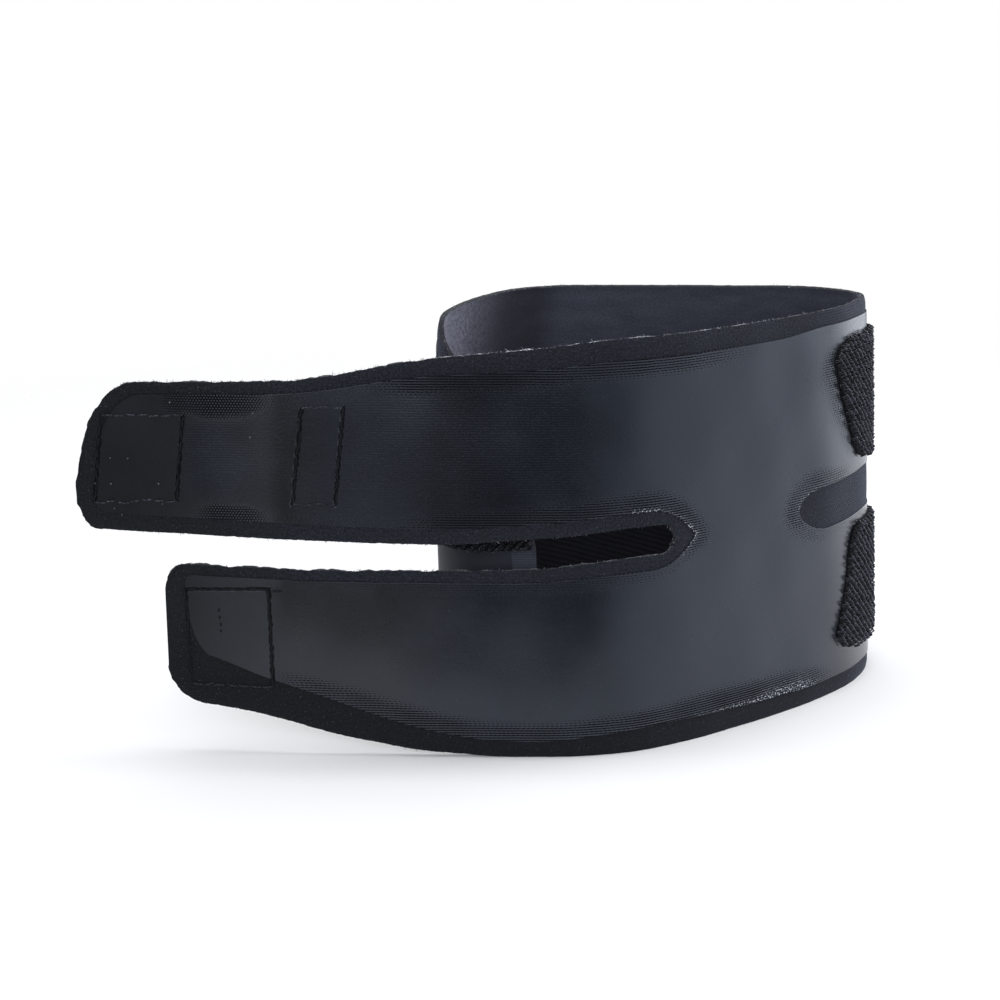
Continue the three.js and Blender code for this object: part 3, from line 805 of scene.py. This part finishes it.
def hook_finish():
    """Hook tape: black moulded plastic with a dull grain."""
    make = Finish("hook_tape")
    grain = make.noise(make.place(), 0.4)
    tone = grain.tint((13, 13, 15), (26, 26, 28))
    return make.end(tone, 0.4 + grain * 0.2, 0.45, normal=make.bump(grain, 0.05, 0.6))


def thread_finish():
    """Sewing thread: black, with a painted grey highlight on the sides where the light would catch it,
    slightly glossy and twisted.
    """
    make = Finish("thread")
    grain = make.noise(make.place(), 0.3, 1.0)
    pale = grain * 0.1 + make.attribute("shade") * grain.rise(0.3, 0.7)
    tone = pale.tint((3, 3, 4), (116, 116, 129))
    return make.end(tone, 0.85, 0.15, normal=make.bump(grain, 0.04, 0.7))


def fuzz_finish():
    """Loose fibre ends on the cut edges: dark, some with a painted pale grey highlight, by a chance shade
    each.
    """
    make = Finish("edge_fuzz")
    tone = make.attribute("shade").tint((30, 31, 36), (168, 170, 180))
    return make.end(tone, 0.6, 0.4)


def floor_finish():
    """Pale seamless paper that fades out well away from the brace, and nearer in front of it."""
    make = Finish("pale_paper")
    spot = make.place()
    across, depth, _ = spot.parts()
    grain = make.noise(spot, 60.0)
    reach = (across * across + depth * depth).math("SQRT")
    tone = grain.tint((0.75, 0.74, 0.727, 1), (0.785, 0.776, 0.762, 1))
    notch = 1 - ((across - 38) / 88).math("ABSOLUTE").rise(0, 1)
    near = FLOOR_FRONT + notch * 34
    shown = depth.rise(near, near + 70) * (1 - reach.rise(180, 330))
    return make.end(tone, 0.9, 0.1, alpha=shown)


# Shapes that several pieces share
def slow_ripple(s, z):
    """A shallow unevenness of the layers, the sum of a few long waves along and across the band."""
    waves = [(31.0, 47.0, 0.4), (19.0, -27.0, 1.9), (13.0, 60.0, 4.1), (53.0, 21.0, 2.6)]
    total = sum(np.sin(2 * math.pi * (s / a + z / b) + phase) for a, b, phase in waves)
    return 0.045 * total


def cut_wobble(s, seed):
    """How far a cut edge strays: waves of chance phase, wider on the straps than round the loop."""
    phase = np.random.default_rng(seed).uniform(0, 2 * math.pi, 6)
    waves = zip((1.1, 1.7, 2.9, 4.3, 7.1, 11.3), (0.025, 0.03, 0.03, 0.035, 0.05, 0.06), phase)
    total = sum(size * np.sin(2 * math.pi * s / length + shift) for length, size, shift in waves)
    return total * np.interp(s, [0, 1.5, 8, 60, 110, FAR_END], [0, 0.3, 1, 1, 0.5, 0.4])


def nearest_on(flat, line):
    """For each flat point, the distance to a line's nearest point, and that point's number."""
    best, which = np.full(len(flat), np.inf), np.zeros(len(flat), int)
    for first in range(0, len(line), 120):
        part = line[first:first + 120]
        gap = np.hypot(flat[:, None, 0] - part[None, :, 0], flat[:, None, 1] - part[None, :, 1])
        here = gap.argmin(axis=1)
        gap = gap.min(axis=1)
        which = np.where(gap < best, first + here, which)
        best = np.minimum(best, gap)
    return best, which


def edge_line(stations, edge):
    return np.stack([stations, edge(stations)], axis=-1)


STRAP_STEP = 0.45
LOOP_STEP = 0.9
KNIT_ROWS, FILM_ROWS, PILE_ROWS, HOOK_ROWS = 26, 40, 16, 18
EDGE_ROUND = 0.32


def straps_and_loop(tip, other_tip, root, end, rounds):
    """Stations of the straps and of the loop behind them, crowded at the tips and the slit's root."""
    loop = marks(root, end, LOOP_STEP, rounds)
    upper = marks(tip, root, STRAP_STEP, [(tip, 11), (root, -8)])
    lower = marks(other_tip, root, STRAP_STEP, [(other_tip, 6), (root, -8)])
    return np.concatenate([upper[:-1], loop]), np.concatenate([lower[:-1], loop])


def far_rounds(end, corner):
    """Where stations crowd for the two rounded corners at a far end."""
    return [(end, -corner["far_top"][0]), (end, -corner["far_foot"][0])]


def welded_cut(strips, rows):
    """The flat points and faces of strips that are joined where they meet."""
    flat, faces = band_cut(strips, rows)
    kept, faces = weld(flat, faces, 1e-3)
    return flat[kept], faces


LIP = {"reach": 1.7, "drop": 0.3}


def knit_lip(flat):
    """How far the cut edge is rolled inwards: a parabola over the last of the margin."""
    s = np.arange(0, FAR_END, 0.4)
    lower, slit = s[s > LOWER_STRAP_TIP], s[s < SLIT_ROOT]
    lines = [edge_line(s, knit_top), edge_line(lower, knit_foot), edge_line(slit, knit_slit_above),
             edge_line(slit[slit > LOWER_STRAP_TIP], knit_slit_below)]
    gap, _ = nearest_on(flat, np.concatenate(lines))
    return LIP["drop"] * np.clip(1 - gap / LIP["reach"], 0, 1) ** 2


def fabric_wrap(finishes):
    """The knit: a walled sheet between its cut edges, welded where the halves meet beyond the slit."""
    rounds = far_rounds(FAR_END, KNIT_CORNER)
    upper, lower = straps_and_loop(0.0, LOWER_STRAP_TIP, SLIT_ROOT, FAR_END, rounds)
    flat, faces = welded_cut([
        (upper, lambda s: knit_slit_above(s) + cut_wobble(s, 2) * (slit_gap(s) > 0),
         lambda s: knit_top(s) + cut_wobble(s, 1)),
        (lower, lambda s: knit_foot(s) + cut_wobble(s, 4) * np.interp(s, [60, 80], [1.0, 0.0]),
         lambda s: knit_slit_below(s) + cut_wobble(s, 3) * (slit_gap(s) > 0)),
    ], KNIT_ROWS)
    out = slow_ripple(*flat.T) - knit_lip(flat)
    piece = mesh_piece("knit_wrap", bend(*flat.T, out), faces, finishes, flat)
    wall = add_wall(piece, 2 * KNIT_HALF, 0.0, EDGE_ROUND)
    wall.material_offset = 1
    wall.material_offset_rim = 2
    return piece


def beside(flat, edges, zones, fade):
    """The strongest of some zones at each flat point: a zone's strength where its edge is nearest, times a
    fade that falls with the distance."""
    total = np.zeros(len(flat))
    for name, (at, strength, *width) in zones.items():
        line = edges[name]
        gap, which = nearest_on(flat, line)
        here = line[which, 0]
        reach = np.interp(here, at, width[0]) if width else 1.0
        total = np.maximum(total, np.interp(here, at, strength) * fade(gap / reach))
    return total


def outer_film(finish):
    """The film: a thin sheet over the knit, set in from its edges and open round the slit and at the
    window. Its mesh fades from an edge as a ramp, and its beads and their painted glints as a bell curve."""
    start, end, reach = FILM_WINDOW["from"], FILM_WINDOW["to"], FILM_WINDOW["rounding"]
    window = [(start, reach), (end, -reach)]
    rounds = window + far_rounds(FILM_FAR_END, FILM_CORNER)
    upper, lower = straps_and_loop(FILM_UPPER_TIP, FILM_LOWER_TIP, FILM_GAP_END, FILM_FAR_END, rounds)
    strips = [(upper, film_slit_above, film_top), (lower, film_foot, film_slit_below)]
    flat, faces = welded_cut(strips, FILM_ROWS)
    s, z = flat.T
    slit_top = marks(FILM_UPPER_TIP, FILM_GAP_END, 0.4, [(FILM_GAP_END, -8)])
    opening = marks(start, end, 0.5, window)
    pad_at = PILE_UPPER["at"]
    edges = {
        "top": edge_line(upper, film_top),
        "foot": edge_line(lower, film_foot),
        "slit_above": edge_line(slit_top, film_slit_above),
        "slit_below": edge_line(slit_top[slit_top > FILM_LOWER_TIP], film_slit_below),
        "window_above": edge_line(opening, film_slit_above),
        "window_below": edge_line(opening, film_slit_below),
        "pad": edge_line(np.arange(pad_at[0], 160, 0.4), curve_through(pad_at, PILE_UPPER["low"])),
    }
    patchy = 0.92 + 0.05 * np.sin(s / 3.1 + z / 9.0) + 0.05 * np.sin(s / 1.3 + 1.0)
    mesh = beside(flat, edges, MESH_BESIDE, lambda gap: np.clip(2 - 1.7 * gap, 0, 1)) * patchy
    beads_and_glints = beside(flat, edges, BEADS_AND_GLINTS_BESIDE, lambda gap: np.exp(-(gap / 0.55) ** 2))
    ribs = np.interp(s, [0, 40, 60, 85, 100, 130, FAR_END], [0.1, 0.3, 1.0, 0.8, 0.2, 0.05, 0.2])
    ribs = ribs * np.interp(z - slit_middle(s), [-6, 4], [0.15, 1.0])
    # The flattened film between the first two sewn boxes: smoother and ribbed, and lighter as a painted
    # sheen.
    pressed_and_sheen = np.interp(s, [19, 21, 26, 36], [0, 1, 0.7, 0])
    pressed_and_sheen = pressed_and_sheen * np.interp(z, [46.5, 48.5, 59.5, 61.5], [0, 1, 1, 0])
    values = {"mesh": mesh, "beads_and_glints": beads_and_glints, "ribs": ribs + pressed_and_sheen * 1.5, "pressed_and_sheen": pressed_and_sheen}
    points = bend(s, z, FILM_FACE + slow_ripple(s, z))
    piece = mesh_piece("film_cover", points, faces, [finish], flat, values)
    add_wall(piece, FILM_WALL, -1.0)
    return piece


def pile_edges(table):
    """A pad's low and high edges, kept in from the edges of the knit."""
    low, high = (curve_through(table["at"], table[edge]) for edge in ("low", "high"))
    return (lambda s: np.maximum(low(s), knit_foot(s) + PILE_EDGE_MARGIN),
            lambda s: np.minimum(high(s), knit_top(s) - PILE_EDGE_MARGIN))


PILE_HEM = 0.45
TUFT_PITCH = (1.46, 0.8)
TUFT_INSET = 0.38
TUFT_HEIGHT = 0.93
YARN_RADIUS = 0.15
HOOK_PITCH = (1.05, 0.8)
HOOK_INSET = 1.3


def loop_tape(name, start, foot, top, finish):
    """A pad's woven tape: a sheet a hem's width inside its low and high edges."""
    stations = marks(start, FAR_END - PILE_END_MARGIN, 0.8, [(start, 6), (FAR_END, -30)])
    flat, faces = band_cut([(stations, lambda s: np.minimum(foot(s) + PILE_HEM, top(s)),
                             lambda s: np.maximum(top(s) - PILE_HEM, foot(s) + PILE_HEM))], PILE_ROWS)
    piece = mesh_piece(name, bend(*flat.T, PILE_TAPE), [faces], [finish], flat)
    add_wall(piece, PILE_TAPE_WALL, -1.0, 0.1)
    return piece


def loop_field(name, start, foot, top, finish):
    """The pad's tufts in staggered rows: each is a pair of yarns that arch together, a sine in height
    between their feet, slanting up along the band, a little different each time in size, turn and shade."""
    along, across = TUFT_PITCH
    number, length = math.ceil(BAND_WIDTH / across), math.ceil((FAR_END - start) / along)
    rows, columns = np.meshgrid(np.arange(number), np.arange(length), indexing="ij")
    s = (start + (columns + 0.5 * (rows % 2)) * along + RANDOM.normal(0, 0.08, rows.shape)).ravel()
    z = (rows * across + RANDOM.normal(0, 0.06, rows.shape)).ravel()
    inside = (z > foot(s) + TUFT_INSET) & (z < top(s) - TUFT_INSET)
    inside &= s < FAR_END - PILE_END_MARGIN - TUFT_INSET
    s, z = np.repeat(s[inside], 2), np.repeat(z[inside], 2)
    count = len(s)
    pair = np.where(np.arange(count) % 2 == 0, 1.0, -1.0)[:, None]
    t = np.linspace(0, 1, 6)
    turn = np.repeat(RANDOM.normal(0.6, 0.16, count // 2), 2)[:, None]
    turn = turn + RANDOM.normal(0, 0.12, count)[:, None]
    span = RANDOM.normal(1.2, 0.12, count)[:, None]
    height = (TUFT_HEIGHT * RANDOM.normal(1, 0.08, count))[:, None]
    run = span * (t - 0.5) + 0.16 * np.sin(2 * math.pi * t)
    up = height * np.sin(math.pi * t) ** 0.6
    aside = 0.17 * pair + RANDOM.normal(0.12, 0.1, count)[:, None] * np.sin(math.pi * t)
    at = s[:, None] + run * np.cos(turn) - aside * np.sin(turn)
    level = z[:, None] + run * np.sin(turn) + aside * np.cos(turn)
    paths = bend(at, level, PILE_TAPE - 0.08 + up)
    side_of = along_way(s)[:, None, :] * -0.6 + np.array([0, 0, 1.0])
    shade = RANDOM.uniform(0, 1, count) ** 1.3
    return fibres(name, paths, YARN_RADIUS * MM, side_of, 3, finish, shade)


def hook_tape(name, place, finish):
    """A hook tab's tape: a flat sheet inside the strap's end, with rounded corners."""
    start, end = place["from"], place["to"]
    foot = rounded(lambda s: place["foot"] + 0 * s, 1, (start, 1, HOOK_CORNER), (end, -1, HOOK_CORNER))
    top = rounded(lambda s: place["top"] + 0 * s, -1, (start, 1, HOOK_CORNER), (end, -1, HOOK_CORNER))
    flat, faces = band_cut([(marks(start, end, 0.7, [(start, 1), (end, -1)]), foot, top)], HOOK_ROWS)
    piece = mesh_piece(name, bend(*flat.T, HOOK_TAPE), [faces[:, ::-1]], [finish], flat)
    add_wall(piece, HOOK_TAPE_WALL, -1.0, 0.08)
    return piece


def hook_field(name, place, finish):
    """Moulded hooks in rows on the tape: each stem rises, bends over as a half circle and ends in a short
    tip, and every other row bends the other way."""
    along, across = HOOK_PITCH
    number = math.floor((place["top"] - place["foot"] - 2 * HOOK_INSET) / across)
    stations = np.arange(place["from"] + HOOK_INSET, place["to"] - HOOK_INSET, along)
    s, row = (grid.ravel() for grid in np.meshgrid(stations, np.arange(number), indexing="ij"))
    z = place["foot"] + HOOK_INSET + row * across
    facing = np.where(row % 2 == 0, 1.0, -1.0)[:, None]
    run = np.array([0, 0, 0.02, 0.13, 0.29, 0.4, 0.42]) * facing
    up = np.array([-0.06, 0.3, 0.52, 0.72, 0.76, 0.64, 0.5])
    radius = np.array([0.15, 0.12, 0.11, 0.1, 0.095, 0.085, 0.06]) * MM
    paths = bend(s[:, None] + run, z[:, None], HOOK_TAPE - up)
    return fibres(name, paths, radius, np.array([0, 0, 1.0]), 4, finish)


def stitches(name, loose, face, lift, finish):
    """Sewn lines: stitches laid end to end round each box, and a few loose ones, each a short tube that
    rises as a cosine from the needle holes, a little unevenly long and turned."""
    lines = [(a, b, dark) for box, darkness in zip(SEWN_BOXES, SEWN_SHADE_AND_HIGHLIGHT)
             for a, b, dark in zip(box, box[1:] + box[:1], darkness)]
    starts = []
    for a, b, dark in lines + [(a, b, 1) for a, b in loose]:
        a, b = np.array(a), np.array(b)
        length = np.linalg.norm(b - a)
        number = max(1, round(length / STITCH_PITCH))
        share = (np.arange(number) + 0.5) / number
        # The last number is the thread's painted pale highlight, on the sides where the light would catch
        # it.
        same = [*(b - a) / length, min(STITCH_LENGTH, length), max(0.0, 1 - 1.4 * dark)]
        starts.append(np.concatenate([a + (b - a) * share[:, None], np.tile(same, (number, 1))], axis=1))
    middle, ahead, length, pale = np.split(np.concatenate(starts), [2, 4, 5], axis=1)
    count = len(middle)
    t = np.linspace(-0.5, 0.5, 8)
    length = length * RANDOM.normal(1, 0.08, count)[:, None]
    skew = RANDOM.normal(0, 0.2, count)[:, None]
    aside = np.stack([-ahead[:, 1], ahead[:, 0]], axis=-1)
    shift = RANDOM.normal(0, 0.1, count)[:, None]
    flat = (middle[:, None] + ahead[:, None] * (length * t)[:, :, None]
            + aside[:, None] * (shift + skew * t)[:, :, None])
    rise = face + lift * (0.2 * np.cos(math.pi * t) - 0.09)
    paths = bend(flat[..., 0], flat[..., 1], rise)
    radius = THREAD_RADIUS * MM * np.array([0.55, 0.9, 1, 1, 1, 1, 0.9, 0.55])
    shade = pale.ravel() * RANDOM.uniform(0.3, 1, count)
    return fibres(name, paths, radius, outward_normal(middle[:, 0])[:, None, :], 6, finish, shade)


def edge_fuzz(finish):
    """Loose fibre ends along the cut edges: short curved hairs that leave the edge's rim in chance
    directions. Each stretch of edge has its ends, its way out and how many hairs stand on a millimetre."""
    edges = [
        (3.0, 60.0, knit_top, 1.0, 5.0),
        (60.0, 130.0, knit_top, 1.0, 9.0),
        (130.0, FAR_END - 2, knit_top, 1.0, 4.0),
        (LOWER_STRAP_TIP + 1, FAR_END - 2, knit_foot, -1.0, 4.0),
        (1.0, SLIT_ROOT - 0.1, knit_slit_above, -1.0, 10.0),
        (LOWER_STRAP_TIP + 1, SLIT_ROOT - 0.1, knit_slit_below, 1.0, 3.0),
    ]
    roots = []
    for start, end, edge, way, thick in edges:
        s = RANDOM.uniform(start, end, round((end - start) * thick))
        roots.append(np.stack([s, edge(s), np.full(len(s), way)], axis=-1))
    s, z, way = np.concatenate(roots).T
    count = len(s)
    t = np.linspace(0, 1, 3)
    length = RANDOM.gamma(4.0, 0.075, count)[:, None]
    slope = RANDOM.normal(0, 0.8, count)[:, None]
    outside = RANDOM.uniform(-0.7, 0.2, count)[:, None]
    curl = RANDOM.normal(0, 0.5, count)[:, None]
    at = s[:, None] + length * (np.sin(slope) * t + curl * t * t * 0.5)
    level = z[:, None] + way[:, None] * (length * np.cos(slope) * t * 0.8 - 0.1)
    out = outside + length * RANDOM.normal(0.0, 0.5, count)[:, None] * t
    paths = bend(at, np.maximum(level, 0.03), out)
    radius = np.array([0.055, 0.045, 0.02]) * MM
    shade = RANDOM.uniform(0, 1, count) ** 2.5
    return fibres("edge_fuzz", paths, radius, outward_normal(s)[:, None, :], 3, finish, shade)


def lint(finish):
    """Specks of lint: three short crossed fibres at each place, as tubes along chance directions."""
    s, z = np.repeat(np.array(LINT), 3, axis=0).T
    count = len(s)
    t = np.linspace(-0.5, 0.5, 3)
    turn = RANDOM.uniform(0, math.pi, count)[:, None]
    length = RANDOM.uniform(0.15, 0.35, count)[:, None]
    out = FILM_FACE + 0.12 + 0.1 * (1 - 4 * t * t)
    paths = bend(s[:, None] + length * np.cos(turn) * t, z[:, None] + length * np.sin(turn) * t, out)
    shade = RANDOM.uniform(0.1, 0.5, count)
    return fibres("lint", paths, 0.055 * MM, outward_normal(s)[:, None, :], 4, finish, shade)


def flat_area(stations, low, high):
    """Area of a cut between two edges, in square metres."""
    height = high(stations) - low(stations)
    return float(np.sum((height[1:] + height[:-1]) / 2 * np.diff(stations))) * MM * MM


def declare(piece, node, area):
    """The piece rides on the frame and stands for its solid, which is hidden; area is not used."""
    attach(piece, "root")
    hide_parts(node)


def trim(piece):
    """A piece that rides along on another."""
    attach(piece, "root")


def dress():
    """Makes every piece of the brace, hangs each on the frame and hides the solids that the main pieces
    stand for.
    """
    thread = thread_finish()
    pile, tape, hooks = pile_finish(), pile_tape_finish(), hook_finish()
    knit = fabric_wrap([knit_finish(), lining_finish(), cut_edge_finish()])
    film = outer_film(film_finish())
    fibre = fuzz_finish()
    trims = [
        edge_fuzz(fibre), lint(fibre),
        stitches("stitches_outside", LOOSE_STITCHES, FILM_FACE, 1.0, thread),
        stitches("stitches_inside", [], HOOK_TAPE, -1.0, thread),
    ]
    for piece in trims:
        trim(piece)

    every = np.linspace(0, FAR_END, 1200)
    behind, upper = every[every > SLIT_ROOT], every[every <= SLIT_ROOT]
    lower = upper[upper > LOWER_STRAP_TIP]
    area = (flat_area(upper, knit_slit_above, knit_top) + flat_area(lower, knit_foot, knit_slit_below)
            + flat_area(behind, knit_foot, knit_top))
    declare(knit, "fabric_wrap", area)

    cover = every[(every > FILM_UPPER_TIP) & (every < FILM_FAR_END)]
    lower = cover[cover > FILM_LOWER_TIP]
    area = flat_area(cover, film_slit_above, film_top) + flat_area(lower, film_foot, film_slit_below)
    width = float((film_top(cover) - film_foot(cover)).max())
    declare(film, "outer_film", area)

    for level, table in (("upper", PILE_UPPER), ("lower", PILE_LOWER)):
        start, (foot, top) = table["at"][0], pile_edges(table)
        strip = loop_tape(f"loop_tape_{level}", start, foot, top, tape)
        field = loop_field(f"loops_{level}", start, foot, top, pile)
        trim(field)
        run = every[(every > start) & (every < FAR_END - PILE_END_MARGIN)]
        size = (float((top(run) - foot(run)).max()) * MM, (FAR_END - PILE_END_MARGIN - start) * MM)
        declare(strip, f"loop_pad_{level}", flat_area(run, foot, top))

    for level, place in (("upper", HOOK_UPPER), ("lower", HOOK_LOWER)):
        tab = hook_tape(f"hook_tape_{level}", place, hooks)
        field = hook_field(f"hooks_{level}", place, hooks)
        trim(field)
        size = ((place["top"] - place["foot"]) * MM, (place["to"] - place["from"]) * MM)
        declare(tab, f"hook_tab_{level}", size[0] * size[1])


# Studio
def pale_floor():
    """A flat sheet of pale paper under the brace."""
    x, y = np.meshgrid(np.linspace(-FLOOR_SIDE, FLOOR_SIDE, 3), np.linspace(FLOOR_FRONT, FLOOR_BACK, 3))
    points = np.stack([x.ravel(), y.ravel(), np.full(x.size, FLOOR_LEVEL)], axis=-1) * MM
    mesh_piece("floor", points, [grid_faces(3, 3)[:, ::-1]], [floor_finish()])


def softbox(name, place, aim, size, power, tint=(1, 1, 1)):
    """A large soft light that faces a point."""
    light = bpy.data.lights.new(name, "AREA")
    light.shape = "RECTANGLE"
    light.size, light.size_y = size[0] * MM, size[1] * MM
    light.energy = power
    light.color = tint
    lamp = add_object(name, light)
    away = np.array(place, float) - np.array(aim, float)
    turn = math.atan2(away[0], -away[1])
    lean = math.atan2(math.hypot(away[0], away[1]), away[2])
    lamp.location = np.array(place, float) * MM
    lamp.rotation_euler = (lean, 0, turn)


def studio():
    """White surroundings for the camera, a dim front and a bright back for the light, and soft lights."""
    world = bpy.data.worlds.new("studio")
    bpy.context.scene.world = world
    world.use_nodes = True
    tree = world.node_tree
    tree.nodes.clear()
    start = Value(tree)
    side, depth, height = start.node("TexCoord").parts()
    bright = (depth.rise(-0.1, 0.6) * 0.45 + height.rise(0.2, 0.9) * 0.36 + side.rise(0.2, 0.85)
              + (0 - side).rise(0.5, 0.95) * 0.2 + 0.005)
    seen = start.node("LightPath")
    strength = seen + (1 - seen) * bright
    tone = seen.tint((0.93, 0.97, 1.06, 1), (1, 1, 1, 1))
    sky = start.node("Background", {0: tone, 1: strength})
    start.node("OutputWorld", {"Surface": sky})
    cool = (0.94, 0.98, 1.05)
    softbox("overhead", (20, 120, 640), (20, 60, 20), (900, 760), 1.35)
    softbox("strip", (20, 34, 640), (20, 34, 0), (900, 130), 2.6)
    softbox("front", (-40, -520, 250), (0, 0, 40), (420, 260), 1.7, cool)
    softbox("right_back", (380, 170, 110), (60, 10, 30), (320, 220), 0.95, cool)
    bpy.context.scene.view_settings.view_transform = "Standard"


def camera():
    """The photograph's camera: level across, pitched down at the front of the brace."""
    front = bend(FRONT_POINT, BAND_WIDTH / 2, 0.0) / MM
    eye = bpy.data.cameras.new("photo_camera")
    eye.lens = CAMERA_LENS
    eye.sensor_width = 36.0
    eye.clip_start, eye.clip_end = 0.01, 20.0
    stand = add_object("photo_camera", eye)
    along, away = CAMERA_FROM_FRONT
    stand.location = np.array([front[0] + along, front[1] + away, CAMERA_HEIGHT]) * MM
    stand.rotation_euler = (math.radians(90 - CAMERA_PITCH), 0, 0)
    bpy.context.scene.camera = stand


camera()
pale_floor()
studio()
dress()
bpy.context.view_layer.update()
